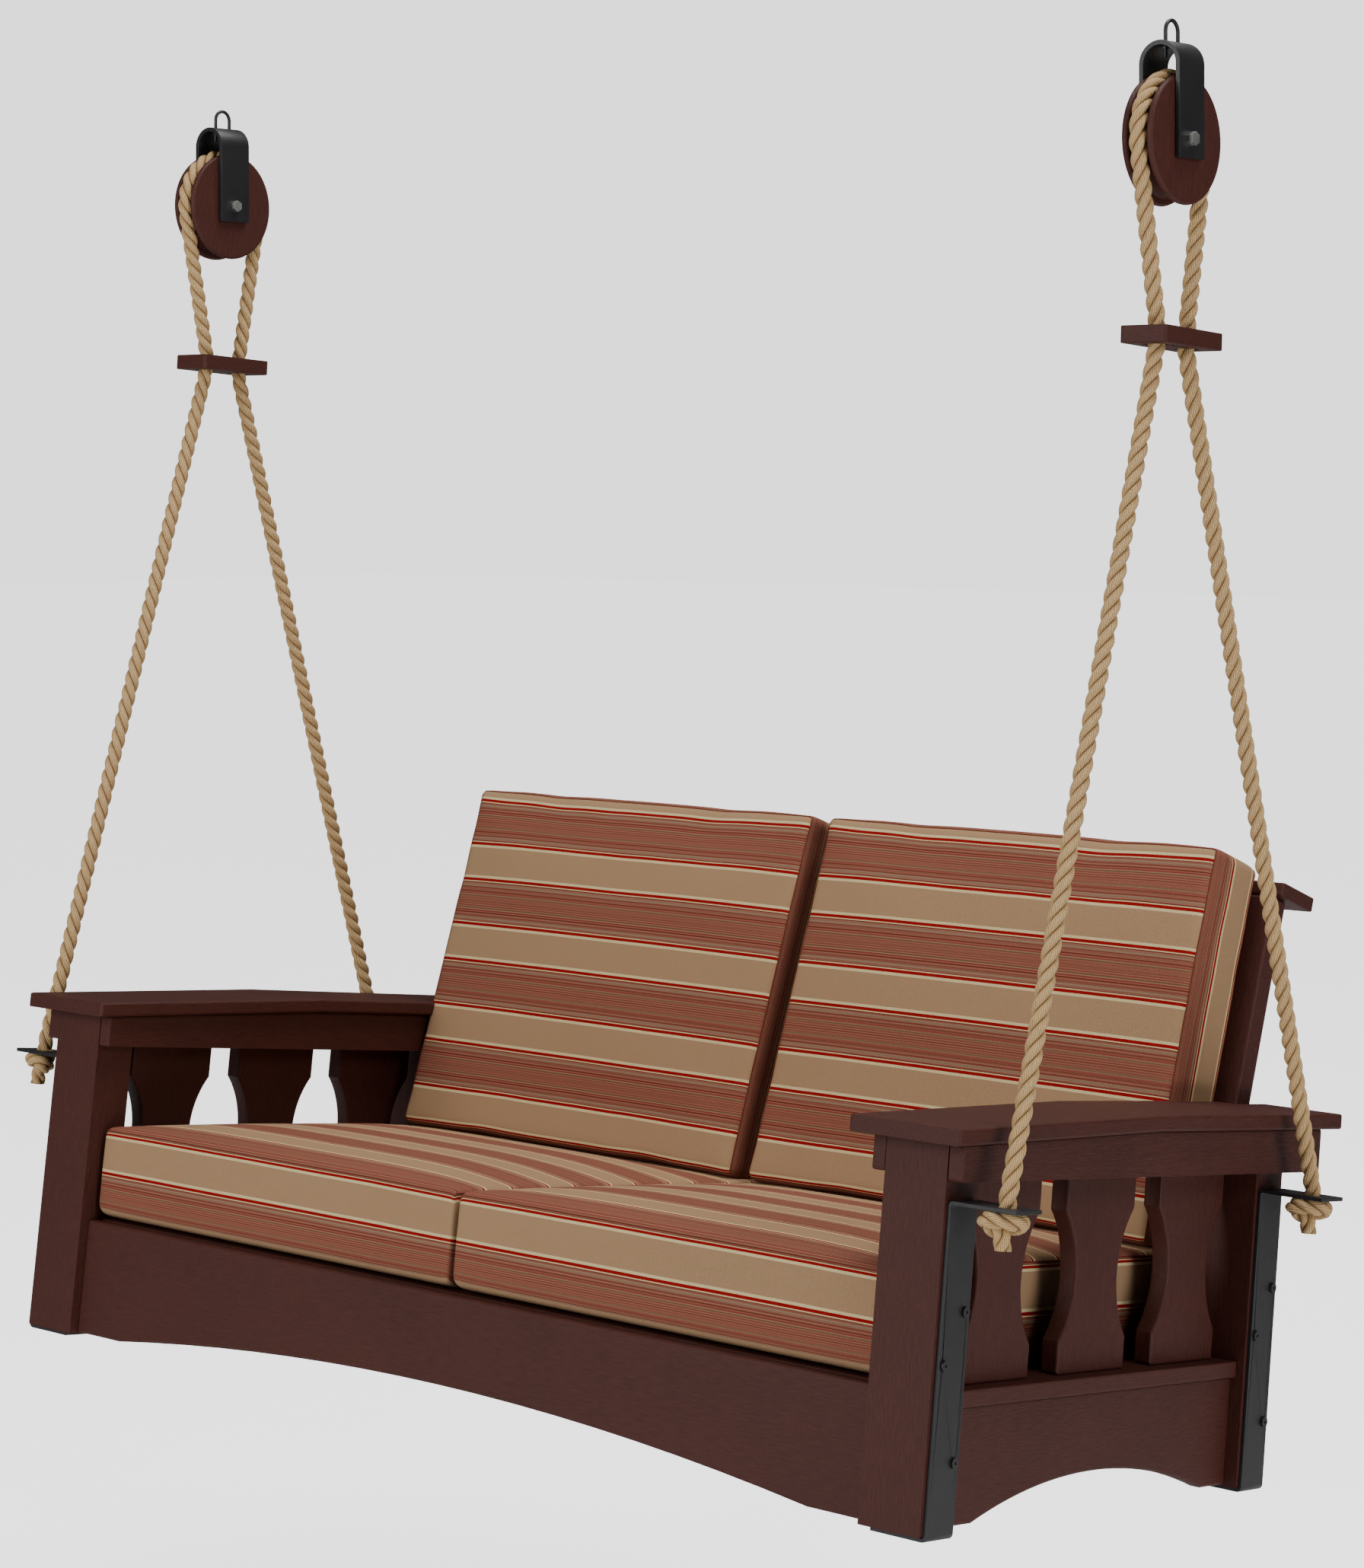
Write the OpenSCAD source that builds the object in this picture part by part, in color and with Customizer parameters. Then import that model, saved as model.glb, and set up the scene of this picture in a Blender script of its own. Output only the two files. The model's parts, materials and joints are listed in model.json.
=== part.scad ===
// Two-seat porch swing of recycled-plastic boards, hung by one rope and one pulley at each side.
//
// Frame: +X to the sitter's left as seen from the front, +Y to the rear, +Z up, millimetres.
// The origin is midway between the two hanging eyes, where their hooks bear.
// The seat hangs tilted back: in_seat() has x across, y rearwards along the seat and z up from
// the undersides of the posts. in_back() leans with the backrest: y = 0 is its front face.

/* [Overall] */
// Width across the outer faces of the posts
seat_w = 1560; // [1300:10:1900]
// Depth of a side frame, front face of the front post to rear face of the rear post
side_d = 761; // [680:1:820]
// Tilt of the hanging seat, rear down
seat_lean = 7.59; // [4:0.01:9]
// Lean of the backrest against the side posts
back_lean = 12.3; // [10:0.1:14]

/* [Boards] */
// Thickness of the boards
board_t = 20; // [18:0.5:22]
// Width of a post across the swing
post_w = 88; // [76:1:100]
// Depth of a post
post_d = 65; // [60:1:72]
// Height of the undersides of the rails under the arms
rail_z = 403; // [396:1:410]
// Height of the level rear half of the arm's top
arm_z = 480; // [470:1:490]
// Drop of the arm's front end
arm_drop = 14.4; // [8:0.1:18]
// Top of the seat slats and side shelves
deck_z = 159.5; // [150:0.5:170]
// Rise of the arches under the aprons
arch_rise = 41; // [20:1:55]

/* [Slats] */
// Number of seat slats
seat_slats = 7; // [5:1:8]
// Number of back slats
back_slats = 15; // [11:1:17]
// Number of hourglass slats in each side
side_slats = 3; // [2:1:3]

/* [Steel] */
// Thickness of the bracket's flat bar
bar_t = 5; // [4:0.5:6]
// Width of the bracket's flat bar
bar_w = 54; // [46:1:58]
// Top of the bracket's rope tab
tab_z = 381; // [360:1:392]
// Reach of the rope tab beyond the post
tab_reach = 94; // [90:1:100]
// Distance of the rope from the post's outer face
rope_out = 64; // [62:0.5:68]

/* [Rope and pulleys] */
// Rope diameter
rope_d = 22; // [18:0.5:24]
// Radius of the rope's centre line over the wheel
wrap_r = 76; // [74:0.5:80]
// Radius of the pulley wheel
wheel_r = 80; // [74:0.5:84]
// Height of the hooks' bearing point above the pulley bolts
eye_h = 143.4; // [138:0.1:160]
// Depth of the spreader blocks' centres below the pulley bolts
spreader_drop = 241.4; // [200:0.1:300]
// Distance of each rope bore from the spreader's centre
bore_off = 33.9; // [30:0.1:40]
// Tilt of the spreader blocks, rear down
spreader_lean = 3.6; // [0:0.1:8]

/* [Cushions] */
// Thickness of the seat cushions
seat_cushion_t = 126; // [100:1:140]
// Thickness of the back cushions
back_cushion_t = 127; // [100:1:140]
// Top of the back cushions along the backrest
back_cushion_top = 806; // [740:1:840]

/* [Hidden] */
$fn = 48;

// Seat frame in the part's frame: the posts' undersides at the front face, between the sides
seat_y = -434;
seat_z = -1761.5;
// Foot of the backrest's front face in the seat's frame
back_y = 679.4;

half_w = seat_w / 2;
post_in = half_w - post_w;
rear_post_y = side_d - post_d;
front_bar_y = post_d / 2;
rear_bar_y = side_d - post_d / 2;
post_ease = 2.3;

// Arm board
arm_x = [post_in - 34.7, half_w + 35.7];
arm_front = -30.5;
arm_bend = 405;
arm_rear = side_d + 87;
notch_y = 775;
notch_w = 37.7;

// Back frame
back_post_w = 40;
back_post_d = 35;
back_in = post_in - back_post_w;
cap_z = 776;
cap_d = 87;
cap_over = 12;
slat_foot = 168;
back_slat_gap = 6.5;
back_rail_h = 88;

// Steel brackets: inner radius of the bends, and the foot plate's reach under the post
bar_bend = 2;
foot_plate = 74;

// Seat deck
deck_under = deck_z - board_t;
apron_foot = 2;
apron_drop = 1.5;
front_apron_y = 14;
rear_apron_y = 727;
cleat_h = 60;
deck_gap = 2;
seat_slat_w = 88;
seat_slat_front = front_apron_y + board_t + deck_gap;
seat_slat_rear = 704;
shelf_x = half_w - 9;
side_apron_x = half_w - 18;

// Middle of the hourglass slats and of the side arch, a little behind the middle of the side
side_middle = side_d / 2 + 4.5;

// Level lengths of the aprons' lower edges beside their arches
side_arch_half = 255.5;
apron_flat = 87;

// Outer rail under the arm
outer_rail_t = 21.5;
outer_rail_rear = side_d + 59;

// Hourglass slats: half widths at the top, waist and foot, and the heights of the curve's ends
slat_x = half_w - 58.5;
slat_t = 25.5;
slat_half_top = 77;
slat_half_waist = 47.5;
slat_half_foot = 75;
slat_curve_top = 356.5;
slat_waist_z = 284;
slat_curve_foot = 200;
slat_pitch = 211.5;

// Screws
screw_head_d = 13;
screw_head_t = 3;
screw_d = 5.5;
screw_l = 45;
screw_clear = 0.3;
drive_w = 3.4;
bracket_screws = [[17, 253], [-17, 193.5], [17, 82]];
back_screws = [190, 240, 290];
back_screw_y = 12;

// Pulleys, eyes and spreaders
rope_x = half_w + rope_out;
axle_z = -eye_h;
eye_wire = 5;
eye_half = 14;
clevis_t = 6;
clevis_w = 57;
clevis_r = 29;
clevis_arch = 91;
clevis_foot = 24;
wheel_half = 22;
core_half = 13;
core_r = 72;
groove_clear = 1.2;
axle_r = 5;
hex_flats = 15;
bolt_head_t = 6;
nut_t = 8;
bolt_end = 11;
eye_leg = 44;
eye_nut_flats = 8;
eye_nut_t = 4;
nut_gap = 0.5;
bush_r = 7.5;
running_fit = 0.05;
hole_clear = 0.3;
spreader_size = [66, 132, 22];
bore_r = 14;
hole_r = 13;

// Knots
knot_r = 29;
knot_h = 38;
knot_round = 12;
tail_r = 10;
tail_h = 12;
knot_gap = 0.5;

// Rope tube
rope_sides = 8;
rope_straight = 8;
wrap_steps = 12;
leg_steps = 19;

// Cushions
cushion_gap = 3;
seat_cushion_out = 8;
seat_cushion_y = [23, 706];
seat_cushion_z = deck_z + 1;
seat_cushion_soft = 14;
back_cushion_x = post_in - 37;
back_cushion_in = 6;
back_cushion_rear = -3;
back_cushion_soft = 16;

// ---- Frames and helpers

module in_seat() {
    translate([0, seat_y, seat_z]) rotate([-seat_lean, 0, 0]) children();
}

// Backrest's frame within the seat's
module on_backrest() {
    translate([0, back_y, 0]) rotate([-back_lean, 0, 0]) children();
}

module in_back() {
    in_seat() on_backrest() children();
}

// Child built for the +X side, mirrored for side = -1
module on_side(side) {
    mirror([side < 0 ? 1 : 0, 0, 0]) children();
}

// Side view outline [y, z] as a board from x0 to x1
module board_yz(x0, x1, points) {
    translate([x0, 0, 0]) rotate([90, 0, 90]) linear_extrude(x1 - x0) polygon(points);
}

// Front view outline as a board from y0 to y1
module plate_xz(y0, y1) {
    translate([0, y1, 0]) rotate([90, 0, 0]) linear_extrude(y1 - y0) children();
}

module box(x, y, z) {
    translate([x[0], y[0], z[0]]) cube([x[1] - x[0], y[1] - y[0], z[1] - z[0]]);
}

// Underside of the arm board at depth y
function arm_under(y) = arm_z - board_t - arm_drop * max(0, arm_bend - y) / (arm_bend - arm_front);

// Centre distance of a circle through (0, rise) and (+-half, 0), measured down from the chord
function arch_depth(half, rise) = (half * half - rise * rise) / (2 * rise);

// Centre of the circle through three points
function circle_centre(a, b, c) =
    let (d = 2 * (a.x * (b.y - c.y) + b.x * (c.y - a.y) + c.x * (a.y - b.y)))
    [(a * a * (b.y - c.y) + b * b * (c.y - a.y) + c * c * (a.y - b.y)) / d,
        (a * a * (c.x - b.x) + b * b * (a.x - c.x) + c * c * (b.x - a.x)) / d];

module arch(half, rise) {
    depth = arch_depth(half, rise);
    translate([0, -depth]) circle(norm([half, depth]), $fn = 200);
}

module hex_prism(flats, h) {
    cylinder(r = flats / sqrt(3), h = h, $fn = 6);
}

// Pan-head screw along -X with its head's seat at x = 0
module screw() {
    rotate([0, 90, 0]) {
        difference() {
            cylinder(d = screw_head_d, h = screw_head_t);
            translate([-drive_w / 2, -drive_w / 2, screw_head_t / 2]) cube([drive_w, drive_w, screw_head_t]);
        }
        translate([0, 0, -screw_l]) cylinder(d = screw_d, h = screw_l);
    }
}

// Clearance for the same screw
module screw_hole() {
    rotate([0, 90, 0]) translate([0, 0, -screw_l - 1])
        cylinder(d = screw_d + 2 * screw_clear, h = screw_l + bar_t + 2);
}

// ---- Side frames

module bracket_screw_places(bar_y) {
    for (p = bracket_screws)
        translate([half_w + bar_t, bar_y + p.x, p.y]) children();
}

// Post with its lower outer edge eased for the bracket's bend
module post(y0, bar_y) {
    difference() {
        board_yz(post_in, half_w, [[y0, 0], [y0 + post_d, 0], [y0 + post_d, arm_under(y0 + post_d)],
            [y0, arm_under(y0)]]);
        plate_xz(y0 - 1, y0 + post_d + 1)
            polygon([[half_w - post_ease - 1, -1], [half_w + 1, -1], [half_w + 1, post_ease + 1]]);
        bracket_screw_places(bar_y) screw_hole();
    }
}

module front_post(side) {
    color("saddlebrown") in_seat() on_side(side) post(0, front_bar_y);
}

module rear_post(side) {
    color("saddlebrown") in_seat() on_side(side) difference() {
        post(rear_post_y, rear_bar_y);
        on_backrest() back_screw_places() screw_hole();
    }
}

module arm(side) {
    under_front = arm_under(arm_front);
    under_rear = arm_under(arm_rear);
    color("saddlebrown") in_seat() on_side(side) difference() {
        board_yz(arm_x[0], arm_x[1], [[arm_front, under_front], [arm_bend, under_rear],
            [arm_rear, under_rear], [arm_rear, arm_z], [arm_bend, arm_z],
            [arm_front, under_front + board_t]]);
        box([arm_x[0] - 1, arm_x[0] + notch_w], [notch_y, arm_rear + 1], [rail_z, arm_z + 1]);
    }
}

module rail(side, x0, x1, y1) {
    color("saddlebrown") in_seat() on_side(side)
        board_yz(x0, x1, [[0, rail_z], [y1, rail_z], [y1, arm_under(y1)], [arm_bend, arm_under(arm_bend)],
            [0, arm_under(0)]]);
}

module outer_rail(side) {
    rail(side, half_w, half_w + outer_rail_t, outer_rail_rear);
}

module inner_rail(side) {
    rail(side, post_in - board_t, post_in, side_d - 1);
}

module hourglass(y) {
    top = [slat_half_top, slat_curve_top];
    waist = [slat_half_waist, slat_waist_z];
    foot = [slat_half_foot, slat_curve_foot];
    centre = circle_centre(top, waist, foot);
    difference() {
        polygon([[y - foot.x, deck_z], [y + foot.x, deck_z], [y + foot.x, foot.y], [y + top.x, top.y],
            [y + top.x, arm_under(y + top.x)], [y - top.x, arm_under(y - top.x)], [y - top.x, top.y],
            [y - foot.x, foot.y]]);
        for (s = [-1, 1])
            translate([y + s * centre.x, centre.y]) circle(norm(top - centre), $fn = 96);
    }
}

module side_slats(side) {
    color("saddlebrown") in_seat() on_side(side)
        translate([slat_x, 0, 0]) rotate([90, 0, 90]) linear_extrude(slat_t)
            for (i = [0 : side_slats - 1])
                hourglass(side_middle + (i - (side_slats - 1) / 2) * slat_pitch);
}

module shelf(side) {
    color("saddlebrown") in_seat() on_side(side)
        box([post_in, shelf_x], [post_d, rear_post_y], [deck_under, deck_z]);
}

// Board from a to b with an arch cut from its lower edge, centred on c
module apron_outline(a, b, top, c, arch_half) {
    difference() {
        translate([a, apron_foot]) square([b - a, top - apron_foot]);
        translate([c, apron_foot]) arch(arch_half, arch_rise);
    }
}

module side_apron(side) {
    color("saddlebrown") in_seat() on_side(side)
        translate([side_apron_x - board_t, 0, 0]) rotate([90, 0, 90]) linear_extrude(board_t)
            apron_outline(post_d, rear_post_y, deck_under, side_middle, side_arch_half);
}

module strip_bend(r) {
    intersection() {
        difference() {
            circle(r);
            circle(r - bar_t);
        }
        square(r);
    }
}

// Flat bar under the post, up its outer face and out into the rope tab
module bracket(side, bar_y) {
    bend = bar_t + bar_bend;
    face = half_w + bar_t;
    color("dimgray") in_seat() on_side(side) difference() {
        plate_xz(bar_y - bar_w / 2, bar_y + bar_w / 2) {
            translate([half_w - foot_plate, -bar_t]) square([foot_plate + bar_t - bend, bar_t]);
            translate([face - bend, bend - bar_t]) mirror([0, 1]) strip_bend(bend);
            translate([half_w, bend - bar_t]) square([bar_t, tab_z - 2 * bend + bar_t]);
            translate([half_w + bend, tab_z - bend]) mirror([1, 0]) strip_bend(bend);
            translate([half_w + bend, tab_z - bar_t]) square([tab_reach - bend, bar_t]);
        }
        bracket_screw_places(bar_y) screw_hole();
        translate([rope_x, bar_y, tab_z - 2 * bar_t]) cylinder(r = hole_r, h = 3 * bar_t);
    }
}

module front_bracket(side) {
    bracket(side, front_bar_y);
}

module rear_bracket(side) {
    bracket(side, rear_bar_y);
}

module bracket_screws() {
    color("silver") in_seat() for (side = [-1, 1], bar_y = [front_bar_y, rear_bar_y])
        on_side(side) bracket_screw_places(bar_y) screw();
}

// ---- Seat deck

module front_apron() {
    color("saddlebrown") in_seat() plate_xz(front_apron_y, front_apron_y + board_t)
        apron_outline(-post_in, post_in, deck_z - apron_drop, 0, post_in - apron_flat);
}

module rear_apron() {
    color("saddlebrown") in_seat() plate_xz(rear_apron_y, rear_apron_y + board_t)
        apron_outline(-post_in, post_in, deck_under, 0, post_in - apron_flat);
}

// Two side cleats and the centre joist that carry the slats
module seat_cleats() {
    color("saddlebrown") in_seat() for (x = [-post_in, -back_post_w / 2, back_in])
        box([x, x + back_post_w], [front_apron_y + board_t, rear_apron_y], [deck_under - cleat_h, deck_under]);
}

module seat_slats() {
    pitch = (seat_slat_rear - seat_slat_front - seat_slat_w) / (seat_slats - 1);
    color("saddlebrown") in_seat() for (i = [0 : seat_slats - 1])
        translate([-post_in + deck_gap, seat_slat_front + i * pitch, deck_under])
            cube([2 * (post_in - deck_gap), seat_slat_w, board_t]);
}

// ---- Backrest

module back_screw_places() {
    for (z = back_screws)
        translate([back_in, back_screw_y, z]) mirror([1, 0, 0]) children();
}

module back_post(side) {
    foot = deck_under / cos(back_lean);
    color("saddlebrown") in_back() on_side(side) difference() {
        board_yz(back_in, post_in, [[0, foot], [back_post_d, foot + back_post_d * tan(back_lean)],
            [back_post_d, cap_z], [0, cap_z]]);
        back_screw_places() screw_hole();
    }
}

module back_post_screws() {
    color("silver") in_back() for (side = [-1, 1])
        on_side(side) back_screw_places() screw();
}

module back_rail(z) {
    color("saddlebrown") in_back() box([-back_in, back_in], [board_t, 2 * board_t], [z, z + back_rail_h]);
}

module lower_back_rail() {
    back_rail(slat_foot);
}

module upper_back_rail() {
    back_rail(cap_z - back_rail_h);
}

module back_brace() {
    color("saddlebrown") in_back()
        box([-back_post_w / 2, back_post_w / 2], [2 * board_t, 2 * board_t + back_post_d], [slat_foot, cap_z]);
}

module back_slats() {
    slat_w = (2 * back_in - (back_slats + 1) * back_slat_gap) / back_slats;
    color("saddlebrown") in_back() for (i = [0 : back_slats - 1])
        translate([-back_in + back_slat_gap + i * (slat_w + back_slat_gap), 0, slat_foot])
            cube([slat_w, board_t, cap_z - slat_foot]);
}

module cap_rail() {
    color("saddlebrown") in_back()
        box([-post_in - cap_over, post_in + cap_over], [0, cap_d], [cap_z, cap_z + board_t]);
}

// ---- Cushions

module seat_cushion(side) {
    y0 = seat_cushion_y[0];
    y1 = seat_cushion_y[1];
    z0 = seat_cushion_z;
    z1 = seat_cushion_z + seat_cushion_t;
    c = seat_cushion_soft;
    color("indianred") in_seat() on_side(side)
        board_yz(cushion_gap, post_in - seat_cushion_out, [[y0 + c / 2, z0], [y1, z0], [y1, z1 - c / 2],
            [y1 - c, z1], [y0 + 3 * c, z1], [y0 + c / 2, z1 - c / 2], [y0, z1 - c], [y0, z0 + c / 2]]);
}

// The back cushion's foot is cut level with the seat cushion that it stands on
module back_cushion(side) {
    rear = back_cushion_rear;
    front = rear - back_cushion_t;
    top = back_cushion_top;
    c = back_cushion_soft;
    foot = seat_cushion_z + seat_cushion_t + 1;
    foot_front = foot / cos(back_lean) + front * tan(back_lean);
    foot_rear = foot / cos(back_lean) + rear * tan(back_lean);
    color("indianred") in_back() on_side(side)
        board_yz(back_cushion_in, back_cushion_x, [[front, foot_front], [rear, foot_rear], [rear, top - c],
            [rear - c, top], [front + c, top], [front, top - c]]);
}

// ---- Hangers

module at_axle(side) {
    translate([side * rope_x, 0, axle_z]) children();
}

module u_bolt(side) {
    wire_r = eye_wire / 2;
    crown = eye_half - wire_r;
    leg = eye_leg - crown;
    color("dimgray") translate([side * rope_x, 0, -crown]) {
        rotate([90, 0, 90]) rotate_extrude(angle = 180) translate([eye_half, 0]) circle(wire_r);
        for (y = [-eye_half, eye_half])
            translate([0, y, -leg]) cylinder(r = wire_r, h = leg);
    }
}

module eye_nuts(side) {
    under = clevis_arch + clevis_r - clevis_t;
    color("dimgray") at_axle(side) for (y = [-eye_half, eye_half])
        translate([0, y, under - eye_nut_t - nut_gap]) difference() {
            hex_prism(eye_nut_flats, eye_nut_t);
            translate([0, 0, -1]) cylinder(d = eye_wire + 2 * running_fit, h = eye_nut_t + 2);
        }
}

// Flat bar bent over the wheel
module clevis(side) {
    color("dimgray") at_axle(side) difference() {
        plate_xz(-clevis_w / 2, clevis_w / 2) {
            translate([0, clevis_arch]) intersection() {
                difference() {
                    circle(clevis_r, $fn = 96);
                    circle(clevis_r - clevis_t, $fn = 96);
                }
                translate([-clevis_r, 0]) square([2 * clevis_r, clevis_r]);
            }
            for (x = [-clevis_r, clevis_r - clevis_t])
                translate([x, -clevis_foot]) square([clevis_t, clevis_arch + clevis_foot]);
        }
        for (y = [-eye_half, eye_half])
            translate([0, y, clevis_arch]) cylinder(d = eye_wire + 2 * hole_clear, h = clevis_r + 1);
        rotate([0, 90, 0]) translate([0, 0, -clevis_r - 1])
            cylinder(r = axle_r + hole_clear, h = 2 * clevis_r + 2);
    }
}

module axle_bolt(side) {
    color("silver") at_axle(side) rotate([0, 90, 0]) {
        translate([0, 0, -clevis_r - bolt_end]) cylinder(r = axle_r, h = 2 * clevis_r + bolt_end);
        translate([0, 0, clevis_r]) hex_prism(hex_flats, bolt_head_t);
    }
}

module axle_nut(side) {
    color("silver") at_axle(side) rotate([0, 90, 0]) translate([0, 0, -clevis_r - nut_t]) difference() {
        hex_prism(hex_flats, nut_t);
        translate([0, 0, -1]) cylinder(r = axle_r + running_fit, h = nut_t + 2);
    }
}

module bush(side) {
    half = clevis_r - clevis_t;
    color("goldenrod") at_axle(side) rotate([0, 90, 0]) translate([0, 0, -half]) difference() {
        cylinder(r = bush_r, h = 2 * half);
        translate([0, 0, -1]) cylinder(r = axle_r + running_fit, h = 2 * half + 2);
    }
}

// ---- Pulley wheels

module sheave_core(side) {
    bore = bush_r + running_fit;
    color("saddlebrown") at_axle(side) rotate([0, 90, 0]) rotate_extrude($fn = 96) difference() {
        translate([bore, -core_half]) square([core_r - bore, 2 * core_half]);
        translate([wrap_r, 0]) circle(rope_d / 2 + groove_clear);
    }
}

module sheave_cheeks(side) {
    color("saddlebrown") at_axle(side) rotate([0, 90, 0]) for (z = [-wheel_half, core_half])
        translate([0, 0, z]) difference() {
            cylinder(r = wheel_r, h = wheel_half - core_half, $fn = 96);
            translate([0, 0, -1]) cylinder(r = bush_r + running_fit, h = wheel_half);
        }
}

// ---- Rope, spreaders and knots

// Point of the seat's frame in the pulley bolt's frame, as [y, z]
function seat_point(y, z) = [seat_y + y * cos(seat_lean) + z * sin(seat_lean),
    seat_z - axle_z - y * sin(seat_lean) + z * cos(seat_lean)];

// Point of the spreader's frame in the pulley bolt's frame
function spreader_point(y, z) = [y * cos(spreader_lean) + z * sin(spreader_lean),
    -spreader_drop - y * sin(spreader_lean) + z * cos(spreader_lean)];

function between(a, b, steps) = [for (i = [0 : steps - 1]) a + (b - a) * i / steps];

// Angle on the wheel at which the rope from point p leaves it, on the side of s
function leave_angle(p, s) = atan2(p.y, p.x) + s * acos(wrap_r / norm(p));

// One leg, from the knot under the tab up to the top of the spreader's bore
function rope_leg(bar_y, bore_y) =
    let (knot = seat_point(bar_y, tab_z - bar_t),
        tab = seat_point(bar_y, tab_z + rope_straight),
        bore = spreader_size.z / 2 + 3,
        low = spreader_point(bore_y, -bore),
        high = spreader_point(bore_y, bore))
    concat([knot], between(tab, low, leg_steps), [low, high]);

function rope_route() =
    let (front = rope_leg(front_bar_y, -bore_off),
        rear = rope_leg(rear_bar_y, bore_off),
        last = len(front) - 1,
        a0 = leave_angle(front[last], -1) + 360,
        a1 = leave_angle(rear[last], 1))
    concat(front, [for (i = [0 : wrap_steps]) let (a = a0 + (a1 - a0) * i / wrap_steps)
        wrap_r * [cos(a), sin(a)]], [for (i = [last : -1 : 0]) rear[i]]);

// Tube round a route in the plane x = 0: one ring at each point, square to the route there
module tube(route, r, sides) {
    n = len(route);
    along = [for (i = [0 : n - 1]) let (d = route[min(i + 1, n - 1)] - route[max(i - 1, 0)]) d / norm(d)];
    points = [for (i = [0 : n - 1], k = [0 : sides - 1])
        let (a = 360 * (k + 0.5) / sides, out = r * sin(a))
        [r * cos(a), route[i].x - out * along[i].y, route[i].y + out * along[i].x]];
    walls = [for (i = [0 : n - 2], k = [0 : sides - 1])
        let (a = i * sides + k, b = i * sides + (k + 1) % sides)
        [a, b, b + sides, a + sides]];
    first = [for (k = [sides - 1 : -1 : 0]) k];
    end = [for (k = [0 : sides - 1]) (n - 1) * sides + k];
    polyhedron(points, concat(walls, [first], [end]));
}

module rope(side) {
    color("burlywood") at_axle(side) tube(rope_route(), rope_d / 2, rope_sides);
}

module spreader(side) {
    size = spreader_size;
    color("saddlebrown") at_axle(side) translate([0, 0, -spreader_drop]) rotate([-spreader_lean, 0, 0])
        difference() {
            cube(size, center = true);
            for (y = [-bore_off, bore_off])
                translate([0, y, -size.z]) cylinder(r = bore_r, h = 2 * size.z);
        }
}

// Stopper knot below a tab with its cut tail
module knot() {
    inner = knot_r - knot_round;
    rotate_extrude() {
        translate([0, -knot_h]) square([inner, knot_h]);
        translate([0, knot_round - knot_h]) square([knot_r, knot_h - 2 * knot_round]);
        for (z = [-knot_round, knot_round - knot_h])
            translate([inner, z]) circle(knot_round);
    }
    translate([0, 0, -knot_h - tail_h]) cylinder(r = tail_r, h = tail_h + 1);
}

module knots(side) {
    color("burlywood") in_seat() on_side(side) for (bar_y = [front_bar_y, rear_bar_y])
        translate([rope_x, bar_y, tab_z - bar_t - knot_gap]) knot();
}

// ---- Nodes

u_bolt(-1);  // u_bolt_left
u_bolt(1);  // u_bolt_right
eye_nuts(-1);  // eye_nuts_left
eye_nuts(1);  // eye_nuts_right
clevis(-1);  // clevis_left
clevis(1);  // clevis_right
axle_bolt(-1);  // axle_bolt_left
axle_bolt(1);  // axle_bolt_right
axle_nut(-1);  // axle_nut_left
axle_nut(1);  // axle_nut_right
bush(-1);  // bush_left
bush(1);  // bush_right
sheave_core(-1);  // sheave_core_left
sheave_core(1);  // sheave_core_right
sheave_cheeks(-1);  // sheave_cheeks_left
sheave_cheeks(1);  // sheave_cheeks_right
rope(-1);  // rope_left
rope(1);  // rope_right
spreader(-1);  // spreader_left
spreader(1);  // spreader_right
knots(-1);  // knots_left
knots(1);  // knots_right
front_bracket(-1);  // front_bracket_left
front_bracket(1);  // front_bracket_right
rear_bracket(-1);  // rear_bracket_left
rear_bracket(1);  // rear_bracket_right
bracket_screws();
front_post(-1);  // front_post_left
front_post(1);  // front_post_right
rear_post(-1);  // rear_post_left
rear_post(1);  // rear_post_right
arm(-1);  // arm_left
arm(1);  // arm_right
outer_rail(-1);  // outer_rail_left
outer_rail(1);  // outer_rail_right
inner_rail(-1);  // inner_rail_left
inner_rail(1);  // inner_rail_right
side_slats(-1);  // side_slats_left
side_slats(1);  // side_slats_right
shelf(-1);  // shelf_left
shelf(1);  // shelf_right
side_apron(-1);  // side_apron_left
side_apron(1);  // side_apron_right
front_apron();
rear_apron();
seat_cleats();
seat_slats();
back_post(-1);  // back_post_left
back_post(1);  // back_post_right
back_post_screws();
back_brace();
lower_back_rail();
upper_back_rail();
back_slats();
cap_rail();
seat_cushion(-1);  // seat_cushion_left
seat_cushion(1);  // seat_cushion_right
back_cushion(-1);  // back_cushion_left
back_cushion(1);  // back_cushion_right
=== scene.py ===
"""Porch swing: materials, ropes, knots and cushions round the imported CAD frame.

Metres. +X across, +Y to the rear, +Z up; the origin is midway between the two hanging eyes.
"""
import json
import math

import bpy
import numpy as np
from mathutils import Matrix, Vector


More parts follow.
